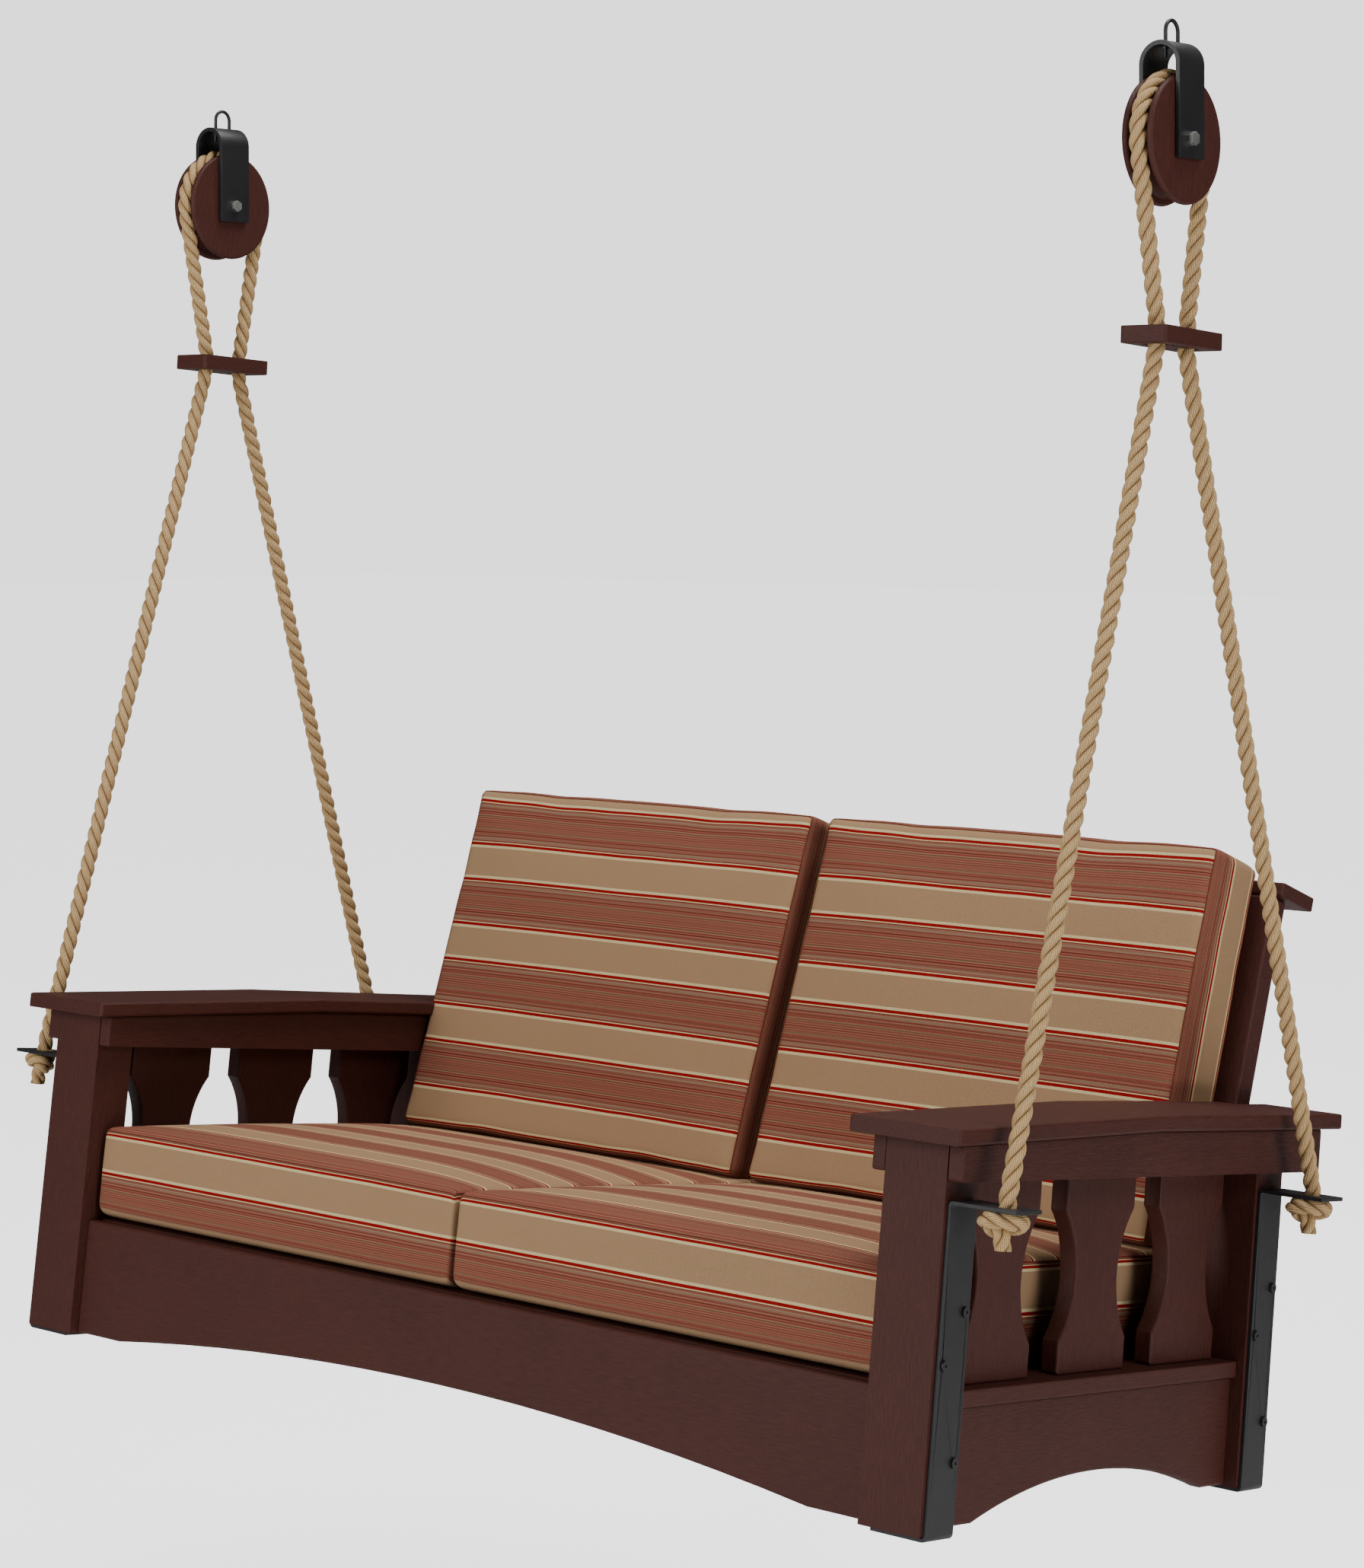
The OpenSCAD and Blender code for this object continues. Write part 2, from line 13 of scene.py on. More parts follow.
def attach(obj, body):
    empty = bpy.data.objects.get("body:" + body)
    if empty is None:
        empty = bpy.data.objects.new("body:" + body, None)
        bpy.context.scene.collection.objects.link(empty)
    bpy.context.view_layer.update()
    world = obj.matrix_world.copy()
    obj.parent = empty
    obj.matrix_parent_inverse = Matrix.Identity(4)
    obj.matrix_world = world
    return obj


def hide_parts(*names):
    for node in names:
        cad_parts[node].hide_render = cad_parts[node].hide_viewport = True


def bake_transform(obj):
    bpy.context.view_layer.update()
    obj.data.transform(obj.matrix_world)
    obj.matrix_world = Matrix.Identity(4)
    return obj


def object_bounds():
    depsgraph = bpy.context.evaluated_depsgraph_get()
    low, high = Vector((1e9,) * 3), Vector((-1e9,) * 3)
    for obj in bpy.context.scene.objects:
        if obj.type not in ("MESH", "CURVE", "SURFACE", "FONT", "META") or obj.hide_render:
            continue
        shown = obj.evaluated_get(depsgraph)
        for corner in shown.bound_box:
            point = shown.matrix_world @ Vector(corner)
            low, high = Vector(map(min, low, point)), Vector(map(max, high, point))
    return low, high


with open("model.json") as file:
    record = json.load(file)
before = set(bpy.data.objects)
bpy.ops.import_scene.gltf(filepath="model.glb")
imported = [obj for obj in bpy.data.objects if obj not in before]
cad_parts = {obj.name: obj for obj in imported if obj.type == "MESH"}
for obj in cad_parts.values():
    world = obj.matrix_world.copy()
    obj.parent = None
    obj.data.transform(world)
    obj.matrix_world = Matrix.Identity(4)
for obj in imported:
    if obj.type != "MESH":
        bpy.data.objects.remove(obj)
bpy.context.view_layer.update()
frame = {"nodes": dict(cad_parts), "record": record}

# ---- Places shared with the CAD model, in metres

AXLE_Z = -0.1434
ROPE_X = 0.844
SEAT_LEAN = math.radians(7.59)
BACK_LEAN = math.radians(12.3)
SPREADER_LEAN = math.radians(3.6)
SPREADER_DROP = 0.2414
BORE_OFF = 0.0339
WRAP_R = 0.076
TAB_Z = 0.381
BAR_T = 0.005
BAR_YS = (0.0325, 0.7285)
DECK_Z = 0.1595
BEVEL = {"board": 0.004, "black_steel": 0.0008, "zinc_steel": 0.0005}

SEAT = Matrix.Translation((0, -0.434, -1.7615)) @ Matrix.Rotation(-SEAT_LEAN, 4, "X")
BACK = SEAT @ Matrix.Translation((0, 0.6794, 0)) @ Matrix.Rotation(-BACK_LEAN, 4, "X")

SIDES = {"left": -1, "right": 1}


# ---- Camera

CAMERA_AT = (3.1622, -3.7255, -0.5457)
CAMERA_TURN = math.radians(40.88)
CAMERA_LENS = 81.69
CAMERA_SHIFT = (0.0466, -0.2)


def make_camera():
    """Level camera with a shifted lens, to the swing's front right."""
    data = bpy.data.cameras.new("camera")
    data.lens = CAMERA_LENS
    data.sensor_width = 36
    data.shift_x, data.shift_y = CAMERA_SHIFT
    data.clip_end = 100
    camera = bpy.data.objects.new("camera", data)
    camera.location = CAMERA_AT
    camera.rotation_euler = (math.radians(90), 0, CAMERA_TURN)
    bpy.context.collection.objects.link(camera)
    bpy.context.scene.camera = camera


# ---- Mesh helpers

def clamp(value, low, high):
    return max(low, min(high, value))


def new_object(name, verts, faces, material, smooth=True):
    mesh = bpy.data.meshes.new(name)
    mesh.from_pydata([tuple(v) for v in verts], [], faces)
    mesh.validate()
    mesh.polygons.foreach_set("use_smooth", [smooth] * len(mesh.polygons))
    obj = bpy.data.objects.new(name, mesh)
    obj.data.materials.append(material)
    bpy.context.collection.objects.link(obj)
    return obj


def resample(points, step):
    """Points at equal steps along a polyline."""
    pts = np.array([tuple(p) for p in points])
    run = np.concatenate([[0], np.cumsum(np.linalg.norm(np.diff(pts, axis=0), axis=1))])
    at = np.linspace(0, run[-1], int(round(run[-1] / step)) + 1)
    return np.stack([np.interp(at, run, pts[:, k]) for k in range(3)], axis=1)


def soften(points, passes):
    """Rounds the corners of an evenly spaced polyline, its ends kept."""
    pts = points.copy()
    for _ in range(passes):
        pts[1:-1] = (pts[:-2] + 2 * pts[1:-1] + pts[2:]) / 4
    return pts


def frames_along(pts, first_normal):
    """Tangents and two cross directions at each point, without twist."""
    tangents = np.gradient(pts, axis=0)
    tangents /= np.linalg.norm(tangents, axis=1)[:, None]
    normal = np.array(first_normal, dtype=float)
    normals = []
    for t in tangents:
        normal = normal - t * normal.dot(t)
        normal /= np.linalg.norm(normal)
        normals.append(normal.copy())
    normals = np.array(normals)
    return tangents, normals, np.cross(tangents, normals)


# ---- Node helpers

class Nodes:
    """A new material and short calls that add and join its nodes."""

    def __init__(self, name):
        self.material = bpy.data.materials.new(name)
        self.material.use_nodes = True
        self.tree = self.material.node_tree
        self.shader = self.tree.nodes["Principled BSDF"]

    def add(self, kind, **settings):
        node = self.tree.nodes.new(kind)
        for key, value in settings.items():
            setattr(node, key, value)
        return node

    def join(self, out, into):
        self.tree.links.new(out, into)

    def place(self, scale, rotation=(0, 0, 0)):
        """Object coordinates, turned and then scaled."""
        coords = self.add("ShaderNodeTexCoord")
        turn = self.add("ShaderNodeMapping", vector_type="POINT")
        turn.inputs["Rotation"].default_value = rotation
        self.join(coords.outputs["Object"], turn.inputs["Vector"])
        stretch = self.add("ShaderNodeMapping", vector_type="POINT")
        stretch.inputs["Scale"].default_value = scale
        self.join(turn.outputs["Vector"], stretch.inputs["Vector"])
        return stretch.outputs["Vector"]

    def noise(self, vector, scale, detail=4, roughness=0.55):
        node = self.add("ShaderNodeTexNoise")
        node.inputs["Scale"].default_value = scale
        node.inputs["Detail"].default_value = detail
        node.inputs["Roughness"].default_value = roughness
        self.join(vector, node.inputs["Vector"])
        return node.outputs["Fac"]

    def ramp(self, fac, stops, interpolation="LINEAR"):
        node = self.add("ShaderNodeValToRGB")
        node.color_ramp.interpolation = interpolation
        elements = node.color_ramp.elements
        while len(elements) < len(stops):
            elements.new(0.5)
        for element, (at, color) in zip(elements, stops):
            element.position = at
            element.color = (*color, 1)
        self.join(fac, node.inputs["Fac"])
        return node.outputs["Color"]

    def math(self, operation, a, b=None):
        node = self.add("ShaderNodeMath", operation=operation)
        for socket, value in zip(node.inputs, (a, b)):
            if value is None:
                continue
            if isinstance(value, (int, float)):
                socket.default_value = value
            else:
                self.join(value, socket)
        return node.outputs["Value"]

    def mix(self, fac, a, b, blend="MIX"):
        node = self.add("ShaderNodeMix", data_type="RGBA", blend_type=blend)
        for socket, value in ((node.inputs[0], fac), (node.inputs[6], a), (node.inputs[7], b)):
            if isinstance(value, (int, float)):
                socket.default_value = value
            elif isinstance(value, tuple):
                socket.default_value = (*value, 1)
            else:
                self.join(value, socket)
        return node.outputs[2]

    def bump(self, height, distance, strength=1.0, under=None):
        node = self.add("ShaderNodeBump")
        node.inputs["Distance"].default_value = distance
        node.inputs["Strength"].default_value = strength
        self.join(height, node.inputs["Height"])
        if under is not None:
            self.join(under, node.inputs["Normal"])
        return node.outputs["Normal"]


def span(nodes, value, low, high):
    """Maps 0..1 to low..high."""
    return nodes.math("ADD", nodes.math("MULTIPLY", value, high - low), low)


# ---- Materials

GRAIN_ALONG = 45.0
GRAIN_ACROSS = 420.0


def board_material(name, grain, leaning):
    """Dark red-brown board with fine moulded grain along one axis of its frame."""
    n = Nodes(name)
    stretch = [GRAIN_ACROSS] * 3
    stretch["xyz".index(grain)] = GRAIN_ALONG
    lean = SEAT_LEAN + (BACK_LEAN if leaning else 0)
    fibres = n.place(stretch, (lean, 0, 0))
    plain = n.place([1, 1, 1])
    streaks = n.noise(fibres, 1, 3, 0.6)
    pebble = n.noise(plain, 420, 2, 0.5)
    cloud = n.noise(plain, 5, 3)
    tone = n.ramp(streaks, [(0.3, (0.046, 0.0106, 0.0070)), (0.7, (0.066, 0.0168, 0.0112))])
    shade = n.ramp(cloud, [(0.3, (0.88, 0.88, 0.88)), (0.7, (1.08, 1.06, 1.05))])
    n.join(n.mix(1.0, tone, shade, "MULTIPLY"), n.shader.inputs["Base Color"])
    n.join(span(n, pebble, 0.46, 0.68), n.shader.inputs["Roughness"])
    grain_bump = n.bump(streaks, 0.0008, 0.7)
    n.join(n.bump(pebble, 0.0005, 0.5, grain_bump), n.shader.inputs["Normal"])
    n.shader.inputs["Specular IOR Level"].default_value = 0.27
    return n.material


def coated_steel():
    n = Nodes("black_steel")
    place = n.place([1, 1, 1])
    speckle = n.noise(place, 900, 2)
    cloud = n.noise(place, 12, 3)
    n.join(n.ramp(cloud, [(0.3, (0.007, 0.007, 0.008)), (0.7, (0.012, 0.012, 0.013))]),
           n.shader.inputs["Base Color"])
    n.join(span(n, speckle, 0.34, 0.56), n.shader.inputs["Roughness"])
    n.join(n.bump(speckle, 0.00025, 0.5), n.shader.inputs["Normal"])
    return n.material


def plated_steel():
    n = Nodes("zinc_steel")
    place = n.place([1, 1, 1])
    cloud = n.noise(place, 160, 3)
    n.join(n.ramp(cloud, [(0.3, (0.66, 0.66, 0.62)), (0.7, (0.84, 0.84, 0.80))]),
           n.shader.inputs["Base Color"])
    n.join(span(n, cloud, 0.28, 0.45), n.shader.inputs["Roughness"])
    n.shader.inputs["Metallic"].default_value = 1.0
    return n.material


def bronze():
    n = Nodes("bronze")
    cloud = n.noise(n.place([1, 1, 1]), 90, 3)
    n.join(n.ramp(cloud, [(0.3, (0.28, 0.17, 0.07)), (0.7, (0.46, 0.30, 0.13))]),
           n.shader.inputs["Base Color"])
    n.join(span(n, cloud, 0.3, 0.5), n.shader.inputs["Roughness"])
    n.shader.inputs["Metallic"].default_value = 1.0
    return n.material


# Yarns seen round the rope
YARNS = 30


def rope_material():
    """Tan laid rope: fine yarns along the rope, with painted shade between the yarns and deeper painted
    shade where its strands meet.
    """
    n = Nodes("rope")
    uv = n.add("ShaderNodeUVMap", uv_map="rope")
    split = n.add("ShaderNodeSeparateXYZ")
    n.join(uv.outputs["UV"], split.inputs["Vector"])
    depth = n.add("ShaderNodeAttribute", attribute_name="groove")
    fuzz = n.noise(n.place([1, 1, 1]), 700, 3)
    wobble = n.math("MULTIPLY", n.noise(n.place([1, 1, 1]), 60, 2), 0.9)
    angle = n.math("ADD", n.math("MULTIPLY", split.outputs["X"], 2 * math.pi * YARNS), wobble)
    yarn = span(n, n.math("SINE", angle), 0.5, 1.0)
    tone = n.ramp(fuzz, [(0.25, (0.62, 0.40, 0.19)), (0.75, (0.86, 0.62, 0.33))])
    # Painted shade in the hollows between the yarns, darkest where the yarn bump is lowest
    lines = n.ramp(yarn, [(0.05, (0.42, 0.34, 0.25)), (0.45, (1, 1, 1))])
    # Painted shade where the strands meet, darker the deeper a point lies below the strands' crowns
    groove_shade = n.ramp(depth.outputs["Fac"],
                     [(0.0, (1, 1, 1)), (0.74, (0.90, 0.86, 0.80)), (0.98, (0.22, 0.14, 0.08))])
    color = n.mix(1.0, n.mix(1.0, tone, lines, "MULTIPLY"), groove_shade, "MULTIPLY")
    n.join(color, n.shader.inputs["Base Color"])
    n.shader.inputs["Roughness"].default_value = 0.85
    n.shader.inputs["Specular IOR Level"].default_value = 0.2
    fibres = n.bump(fuzz, 0.0004, 0.6)
    n.join(n.bump(yarn, 0.0009, 0.9, fibres), n.shader.inputs["Normal"])
    return n.material


# Fabric colours, and half of the stripe pattern from the middle of the red zone outwards, in
# millimetres: (where the stripe starts, colour). The other half mirrors it.
TAN = (0.345, 0.215, 0.118)
CREAM = (0.60, 0.50, 0.27)
RED = (0.26, 0.004, 0.005)
MADDER = (0.235, 0.045, 0.030)
BRICK = (0.195, 0.050, 0.032)
RUST = (0.15, 0.026, 0.015)
ROSE = (0.262, 0.096, 0.062)
SAGE = (0.25, 0.155, 0.098)
OLIVE = (0.15, 0.075, 0.036)
PERIOD = 128.0
STRIPES = [(0, BRICK), (1, ROSE), (2.4, BRICK), (3.6, ROSE), (5.6, BRICK), (6.8, ROSE), (8.6, OLIVE),
           (10.6, SAGE), (12.2, MADDER), (14.6, ROSE), (15.7, RUST), (17.9, ROSE), (20.8, BRICK),
           (23.8, SAGE), (28, ROSE), (30, RUST), (31.4, CREAM), (32.9, RED), (37.5, CREAM), (41.3, TAN)]
# The red zone's half width, where the weft shows as dark and light ticks, how strongly they show,
# and the thread spacings
ZONE = 31.0
TICKS = 0.42
WEFT = 0.0024
WARP = 0.0037
PICK_DARK = (0.10, 0.022, 0.012)
PICK_LIGHT = (0.42, 0.255, 0.165)


def fabric_material():
    """Woven stripes. UV x runs along the stripes and y across them, in metres."""
    n = Nodes("cushion_fabric")
    uv = n.add("ShaderNodeUVMap", uv_map="cloth")
    split = n.add("ShaderNodeSeparateXYZ")
    n.join(uv.outputs["UV"], split.inputs["Vector"])
    along = split.outputs["X"]
    across = split.outputs["Y"]
    fuzz = n.noise(uv.outputs["UV"], 500, 3)
    wander = n.math("MULTIPLY", n.math("SUBTRACT", n.noise(uv.outputs["UV"], 3, 2), 0.5), 0.002)
    place = n.math("ADD", across, wander)
    phase = n.math("PINGPONG", n.math("DIVIDE", place, PERIOD / 1000), 0.5)
    stops = [(2 * at / PERIOD, color) for at, color in STRIPES]
    stripes = n.ramp(n.math("MULTIPLY", phase, 2), stops, "CONSTANT")
    weft = n.math("SINE", n.math("MULTIPLY", along, 2 * math.pi / WEFT))
    warp = n.math("SINE", n.math("MULTIPLY", across, 2 * math.pi / WARP))
    weave = span(n, n.math("MULTIPLY", weft, warp), 0.5, 1.0)
    # Random blotches in the cloth's colour, plus painted shade in the hollows of the weave
    mottle_and_weave_shade = n.ramp(n.math("ADD", n.math("MULTIPLY", weave, 0.4), n.math("MULTIPLY", fuzz, 0.6)),
                    [(0.25, (0.84, 0.83, 0.82)), (0.75, (1.10, 1.09, 1.08))])
    patterned = n.ramp(n.math("MULTIPLY", phase, 2), [(0, (1, 1, 1)), (2 * ZONE / PERIOD, (0, 0, 0))],
                       "CONSTANT")
    ticks = n.math("MULTIPLY", n.math("GREATER_THAN", weft, 0.25), TICKS)
    picked = n.mix(ticks, stripes, n.ramp(warp, [(0.2, PICK_DARK), (0.8, PICK_LIGHT)]))
    cloth = n.mix(patterned, stripes, picked)
    n.join(n.mix(1.0, cloth, mottle_and_weave_shade, "MULTIPLY"), n.shader.inputs["Base Color"])
    n.shader.inputs["Roughness"].default_value = 0.92
    n.shader.inputs["Specular IOR Level"].default_value = 0.12
    soft = n.bump(n.noise(n.place([1, 1, 1]), 14, 3), 0.004, 0.25)
    n.join(n.bump(weave, 0.0006, 0.5, soft), n.shader.inputs["Normal"])
    return n.material


# Brightness of the pale backdrop and floor as seen, and of the even light on the object
BACKDROP = 1.9
EVEN_LIGHT = 0.09


def floor_material():
    """Pale floor that stays as light as the backdrop far from the lamps."""
    n = Nodes("floor")
    cloud = n.noise(n.place([1, 1, 1]), 2, 3)
    n.join(n.ramp(cloud, [(0.3, (0.78, 0.78, 0.78)), (0.7, (0.84, 0.84, 0.84))]),
           n.shader.inputs["Base Color"])
    n.shader.inputs["Roughness"].default_value = 0.9
    n.shader.inputs["Emission Color"].default_value = (1, 1, 1, 1)
    rays = n.add("ShaderNodeLightPath")
    glow = n.math("MULTIPLY", rays.outputs["Is Camera Ray"], BACKDROP)
    n.join(glow, n.shader.inputs["Emission Strength"])
    return n.material


# ---- Ropes

# How far a rope runs straight above a tab, and each way from the middle of a spreader's bore
TAB_STRAIGHT = 0.008
BORE_STRAIGHT = 0.014
# Three strands: how far one advances in a full turn, where its middle lies and its radius
PITCH = 0.065
STRAND_OUT = 0.0049
STRAND_R = 0.0063
ROPE_STEP = 0.003
ROPE_SIDES = 30
WRAP_POINTS = 49


def seat_point(side, y, z):
    return SEAT @ Vector((side * ROPE_X, y, z))


def spreader_point(side, y, z):
    at = Matrix.Rotation(-SPREADER_LEAN, 4, "X") @ Vector((0, y, z))
    return at + Vector((side * ROPE_X, 0, AXLE_Z - SPREADER_DROP))


def rope_leg(side, bar_y, bore_y):
    """From the knot under a tab up to the top of a spreader's bore."""
    return [seat_point(side, bar_y, TAB_Z - BAR_T), seat_point(side, bar_y, TAB_Z + TAB_STRAIGHT),
            spreader_point(side, bore_y, -BORE_STRAIGHT), spreader_point(side, bore_y, BORE_STRAIGHT)]


def leave_angle(p, turn):
    y = p.y
    z = p.z - AXLE_Z
    return math.atan2(z, y) + turn * math.acos(WRAP_R / math.hypot(y, z))


def rope_route(side):
    front = rope_leg(side, BAR_YS[0], -BORE_OFF)
    rear = rope_leg(side, BAR_YS[1], BORE_OFF)
    a0 = leave_angle(front[-1], -1) + 2 * math.pi
    a1 = leave_angle(rear[-1], 1)
    wrap = [Vector((side * ROPE_X, WRAP_R * math.cos(a), AXLE_Z + WRAP_R * math.sin(a)))
            for a in np.linspace(a0, a1, WRAP_POINTS)]
    return front + wrap + rear[::-1]


def laid_rope(name, points, first_normal, hand, material, tightness=1.0, rounding=6):
    """Three-strand rope along a polyline: a tube whose three lobes turn along it."""
    sides = ROPE_SIDES
    pitch = PITCH * tightness
    lobe_out = STRAND_OUT * tightness
    lobe_r = STRAND_R * tightness
    step = ROPE_STEP * tightness
    pts = soften(resample(points, step), rounding)
    tangents, normals, across = frames_along(pts, first_normal)
    angles = 2 * math.pi * np.arange(sides) / sides
    lobe = (angles + math.pi / 3) % (2 * math.pi / 3) - math.pi / 3
    radius = lobe_out * np.cos(lobe) + np.sqrt(lobe_r ** 2 - (lobe_out * np.sin(lobe)) ** 2)
    verts = []
    fixed = []
    for i, p in enumerate(pts):
        turn = hand * 2 * math.pi * i * step / pitch
        a = angles + turn
        ring = np.outer(np.cos(a), normals[i]) + np.outer(np.sin(a), across[i])
        verts.extend(p + radius[:, None] * ring)
        fixed.append(turn / (2 * math.pi))
    count = len(pts)
    faces = []
    uvs = []
    for i in range(count - 1):
        for k in range(sides):
            m = (k + 1) % sides
            faces.append((i * sides + k, i * sides + m, (i + 1) * sides + m, (i + 1) * sides + k))
            u0 = k / sides
            u1 = (k + 1) / sides
            uvs.extend([(u0 + fixed[i], i * step), (u1 + fixed[i], i * step),
                        (u1 + fixed[i + 1], (i + 1) * step), (u0 + fixed[i + 1], (i + 1) * step)])
    for ring, order in ((0, range(sides - 1, -1, -1)), (count - 1, range(sides))):
        faces.append(tuple(ring * sides + k for k in order))
        uvs.extend([(k / sides, 0) for k in order])
    obj = new_object(name, verts, faces, material)
    layer = obj.data.uv_layers.new(name="rope")
    layer.data.foreach_set("uv", np.array(uvs).ravel())
    # Depth of each point below the strands' crowns, from which the rope material paints shade
    groove = obj.data.attributes.new("groove", "FLOAT", "POINT")
    depth = (radius.max() - radius) / (radius.max() - radius.min())
    groove.data.foreach_set("value", np.tile(depth, count))
    return obj, pts


def make_rope(side_name, knots, material):
    side = SIDES[side_name]
    rope, pts = laid_rope("rope_" + side_name + "_laid", rope_route(side), (1, 0, 0), side, material)
    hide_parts("rope_" + side_name)
    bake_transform(rope)


# ---- Knots

KNOT_TURN = math.radians(41)
KNOT_TIGHTNESS = 0.98
KNOT_BEND = 7
# Way of the rope through a stopper knot, from the tab's hole: down and round to the right, a band
# across the front, round to the left, and the tail. Metres: right, away, up.
KNOT_WAY = [(0, 0.003, 0.004), (0, 0.007, -0.007), (0.003, 0.008, -0.016), (0.012, 0.005, -0.018),
            (0.0195, -0.001, -0.0135), (0.015, -0.011, -0.0095), (0.003, -0.0165, -0.010),
            (-0.009, -0.016, -0.009), (-0.0215, -0.009, -0.009), (-0.0255, 0, -0.0115),
            (-0.019, 0.003, -0.017), (-0.010, -0.001, -0.021), (-0.003, -0.005, -0.026),
            (-0.003, -0.005, -0.035), (-0.003, -0.005, -0.044)]


def make_knots(side_name, material):
    """Stopper knots under a side's two tabs, their bands turned outward and forward."""
    side = SIDES[side_name]
    knots = []
    for place, bar_y in zip(("front", "rear"), BAR_YS):
        spot = SEAT @ Matrix.Translation((side * ROPE_X, bar_y, TAB_Z - BAR_T))
        turn = spot @ Matrix.Rotation(side * KNOT_TURN, 4, "Z")
        path = [turn @ Vector((side * x, y, z)) for x, y, z in KNOT_WAY]
        knot = laid_rope("knot_" + place + "_" + side_name, path, (1, 0, 0), side, material,
                         KNOT_TIGHTNESS, KNOT_BEND)[0]
        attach(knot, "seat")
        knots.append(knot)
    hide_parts("knots_" + side_name)
    return knots


# ---- Cushions

# Spans of the right cushions before they swell: a seat cushion's in the seat's frame, a back
# cushion's in the back's frame
SEAT_X = (0.0006, 0.689)
SEAT_Y = (0.021, 0.702)
SEAT_Z = (DECK_Z + 0.0015, 0.290)
BACK_X = (0.0115, 0.673)
BACK_Y = (-0.130, -0.012)
BACK_Z = (0.274, 0.810)
SEAT_SWELL = 0.007
BACK_SWELL = 0.009
# Farthest back that a back cushion reaches, just off its slats
BACK_STOP = -0.0015
# The sewn mesh: its cell, its lines close to an edge and the seams' radius
GRID_CELL = 0.022
GRID_EDGE = (0.0, 0.005, 0.011, 0.020)
SEAM_R = 0.0009
# How far the rounding of the edges reaches along x, y and z
SEAT_ROUND = (0.008, 0.009, 0.018)
BACK_ROUND = (0.013, 0.018, 0.013)
# Domes: a seat cushion's, which ends where a back cushion stands on it, and a back cushion's top
SEAT_CROWN = 0.013
SEAT_CROWN_REAR = 0.60
BACK_CROWN = 0.008
# The seat cushions' bottom curls up at the front
ROLL_HEIGHT = 0.018
ROLL_DEPTH = 0.045
# The line between the back cushions leans across by this much, about this share of their height
INNER_SLANT = 0.012
SLANT_MIDDLE = 0.58
# Cloth's coordinate across its stripes, in metres: at a seat cushion's front edges, in the middle
# of a tan stripe, at a back cushion's top, at the front edges of its sides, and on the seams
EDGE_CLOTH = 0.0258
TAN_CLOTH = 0.064
BACK_CLOTH = 0.0551
BACK_EDGE_CLOTH = -0.0135
SEAM_CLOTH = (0.0, 0.017)


def grid_lines(low, high):
    """Coordinates from low to high, closer together near both ends."""
    start = low + GRID_EDGE[-1]
    run = high - GRID_EDGE[-1] - start
    count = max(2, int(round(run / GRID_CELL)))
    middle = [start + run * i / count for i in range(1, count)]
    return [low + e for e in GRID_EDGE] + middle + [high - e for e in reversed(GRID_EDGE)]


def grid_box(xs, ys, zs, stripe):
    """Closed box of quads. stripe(panel, x, y, z) gives the cloth's coordinates on each panel."""
    index = {}
    verts = []
    faces = []
    uvs = []

    def vert(i, j, k):
        if (i, j, k) not in index:
            index[i, j, k] = len(verts)
            verts.append((xs[i], ys[j], zs[k]))
        return index[i, j, k]

    def panel(name, corner, first, second, reverse):
        for a in range(len(first) - 1):
            for b in range(len(second) - 1):
                loop = [(a, b), (a + 1, b), (a + 1, b + 1), (a, b + 1)]
                keys = [corner(*c) for c in (reversed(loop) if reverse else loop)]
                faces.append([vert(*key) for key in keys])
                uvs.extend(stripe(name, xs[i], ys[j], zs[k]) for i, j, k in keys)

    nx, ny, nz = len(xs) - 1, len(ys) - 1, len(zs) - 1
    panel("top", lambda a, b: (a, b, nz), xs, ys, False)
    panel("bottom", lambda a, b: (a, b, 0), xs, ys, True)
    panel("front", lambda a, b: (a, 0, b), xs, zs, False)
    panel("rear", lambda a, b: (a, ny, b), xs, zs, True)
    panel("low_x", lambda a, b: (0, a, b), ys, zs, True)
    panel("high_x", lambda a, b: (nx, a, b), ys, zs, False)
    return verts, faces, uvs, index


def rounded(p, low, high, reach):
    """Point of a box moved onto the same box with its edges rounded, with a reach for each axis."""
    core = [clamp(c, a + r, b - r) for c, a, b, r in zip(p, low, high, reach)]
    off = Vector([(c - m) / r for c, m, r in zip(p, core, reach)])
    if off.length < 1e-6:
        return tuple(p)
    off.normalize()
    return tuple(m + o * r for m, o, r in zip(core, off, reach))


def inflate(obj, cap):
    """Blows a closed mesh up with Cloth and gives its new points, none moved past the cap."""
    rest = np.array([v.co[:] for v in obj.data.vertices])
    cloth = obj.modifiers.new("cloth", "CLOTH")
    settings = cloth.settings
    settings.quality = 6
    settings.mass = 0.3
    settings.tension_stiffness = 12
    settings.compression_stiffness = 12
    settings.shear_stiffness = 6
    settings.bending_stiffness = 0.6
    settings.use_pressure = True
    settings.uniform_pressure_force = 4.0
    settings.effector_weights.gravity = 0
    scene = bpy.context.scene
    for number in range(1, 21):
        scene.frame_set(number)
    graph = bpy.context.evaluated_depsgraph_get()
    blown = obj.evaluated_get(graph).to_mesh()
    moved = np.array([v.co[:] for v in blown.vertices]) - rest
    obj.evaluated_get(graph).to_mesh_clear()
    obj.modifiers.remove(cloth)
    scene.frame_set(1)
    farthest = np.linalg.norm(moved, axis=1).max()
    return rest + moved * min(1.0, cap / farthest)


